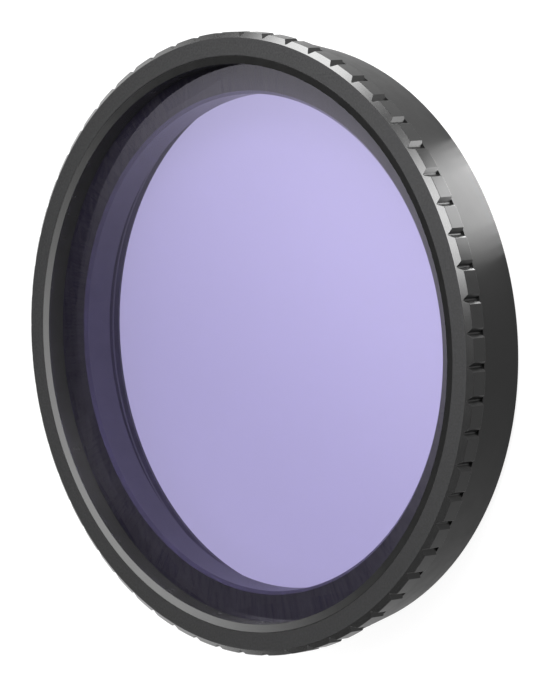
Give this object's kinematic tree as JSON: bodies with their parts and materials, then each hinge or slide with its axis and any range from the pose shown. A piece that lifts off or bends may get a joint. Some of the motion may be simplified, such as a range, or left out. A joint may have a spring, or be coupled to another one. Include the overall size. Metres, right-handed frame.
{
  "type": "light pollution filter",
  "caption": "Round tinted glass filter in a black ring with a notched grip, a taper to the rear and a threaded rear socket.",
  "frame": {"origin": "on the optical axis in the plane of the rear face, on which the filter lies", "axes": "+Z along the optical axis towards the front face; +X through the middle of a grip notch"},
  "size_m": [0.0562, 0.0562, 0.0082],
  "materials": {
    "cell": "black anodised, blasted front face and satin sides",
    "glass": "polished, pale violet tint, coated",
    "ring": "black anodised, smooth"
  },
  "bodies": {
    "root": {"filter_cell": "cell", "filter_glass": "glass", "retaining_ring": "ring"}
  },
  "joints": []
}
